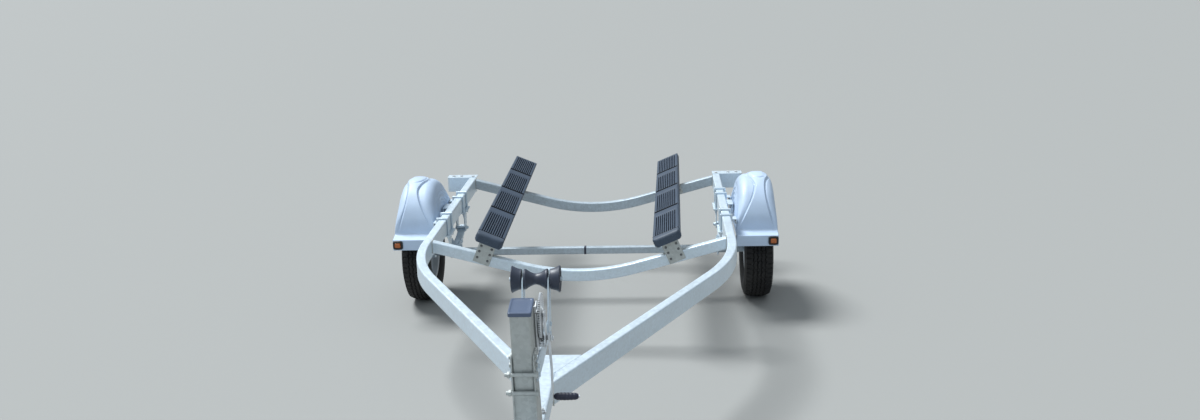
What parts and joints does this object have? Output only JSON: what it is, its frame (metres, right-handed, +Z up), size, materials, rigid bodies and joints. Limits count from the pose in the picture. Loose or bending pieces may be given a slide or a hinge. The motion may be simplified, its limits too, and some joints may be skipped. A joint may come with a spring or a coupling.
{
  "type": "boat trailer",
  "caption": "Galvanised boat trailer with a V-shaped tongue, tilted bunks, plastic fenders, a leaning winch post with a bow roller, a ball coupler and a swing-up jack wheel.",
  "frame": {"origin": "on the ground under the middle of the whole length and width", "axes": "+Z up, +Y towards the tail, so the coupler points along -Y, and +X across to the trailer's side that is on the right when it is seen from ahead of the tongue"},
  "size_m": [2.34, 5.6158, 1.1333],
  "materials": {
    "galvanised": "hot-dip galvanised, faint spangle",
    "galvanised_dull": "hot-dip galvanised, dull grey",
    "zinc_plated": "bright zinc plate",
    "fender_plastic": "moulded, light silver grey",
    "bunk_plastic": "ribbed, slate black with a soft sheen",
    "treated_timber": "treated softwood",
    "tyre_rubber": "moulded tread",
    "roller_rubber": "smooth moulded rubber",
    "wheel_paint": "silver enamel",
    "black_plastic": "dark moulded plastic",
    "amber_lens": "clear-coated amber lens in a dark housing",
    "red_lens": "clear-coated red lens in a dark housing",
    "webbing": "woven webbing"
  },
  "bodies": {
    "frame": {"axle": "galvanised", "bunk_board_left": "treated_timber", "bunk_board_right": "treated_timber", "bunk_brackets": "galvanised_dull", "bunk_pad_left": "bunk_plastic", "bunk_pad_right": "bunk_plastic", "coupler": "galvanised", "coupler_latch": "zinc_plated", "cross_front": "galvanised", "cross_rear": "galvanised", "fender_brackets": "galvanised", "fender_left": "fender_plastic", "fender_right": "fender_plastic", "hangers_left": "galvanised", "hangers_right": "galvanised", "jack_bracket": "galvanised_dull", "light_boxes": "galvanised", "post_bracket": "galvanised_dull", "post_cap": "black_plastic", "rail_left": "galvanised", "rail_right": "galvanised", "roller_bracket": "galvanised", "side_markers": "amber_lens", "spring_left": "galvanised", "spring_right": "galvanised", "tail_lamps": "red_lens", "tongue": "galvanised", "winch_frame": "zinc_plated", "winch_post": "galvanised_dull"},
    "wheel_left": {"hub_left": "galvanised", "rim_left": "wheel_paint", "tyre_left": "tyre_rubber"},
    "wheel_right": {"hub_right": "galvanised", "rim_right": "wheel_paint", "tyre_right": "tyre_rubber"},
    "roller": {"bow_roller": "roller_rubber"},
    "drum": {"winch_drum": "zinc_plated", "winch_strap": "webbing"},
    "crank": {"winch_crank": "zinc_plated", "crank_grip": "black_plastic"},
    "jack": {"jack_tube": "zinc_plated"},
    "jack_inner": {"jack_leg": "zinc_plated"},
    "jack_caster": {"jack_fork": "zinc_plated"},
    "jack_roll": {"jack_wheel": "black_plastic"}
  },
  "joints": [
    {"name": "wheel_left_spin", "type": "hinge", "parent": "frame", "child": "wheel_left", "pos_m": [-1.065, 1.542, 0.305], "axis": [1, 0, 0], "continuous": true},
    {"name": "wheel_right_spin", "type": "hinge", "parent": "frame", "child": "wheel_right", "pos_m": [1.065, 1.542, 0.305], "axis": [1, 0, 0], "continuous": true},
    {"name": "roller_spin", "type": "hinge", "parent": "frame", "child": "roller", "pos_m": [0, -1.518, 1.066], "axis": [1, 0, 0], "continuous": true},
    {"name": "drum_spin", "type": "hinge", "parent": "frame", "child": "drum", "pos_m": [0, -1.866, 1.046], "axis": [1, 0, 0], "continuous": true},
    {"name": "crank_turn", "type": "hinge", "parent": "frame", "child": "crank", "pos_m": [0, -1.85, 0.9587], "axis": [1, 0, 0], "continuous": true},
    {"name": "jack_swing", "type": "hinge", "parent": "frame", "child": "jack", "pos_m": [-0.15, -2.458, 0.582], "axis": [1, 0, 0], "range_deg": [0, 90]},
    {"name": "jack_lift", "type": "slide", "parent": "jack", "child": "jack_inner", "axis": [0, 0, -1], "range_m": [-0.14, 0.1]},
    {"name": "jack_swivel", "type": "hinge", "parent": "jack_inner", "child": "jack_caster", "pos_m": [-0.15, -2.458, 0.19], "axis": [0, 0, 1], "continuous": true},
    {"name": "jack_wheel_spin", "type": "hinge", "parent": "jack_caster", "child": "jack_roll", "pos_m": [-0.15, -2.434, 0.076], "axis": [1, 0, 0], "continuous": true}
  ],
  "couplings": [
    {"joint": "crank_turn", "follows": "drum_spin", "ratio": -5.4545}
  ]
}
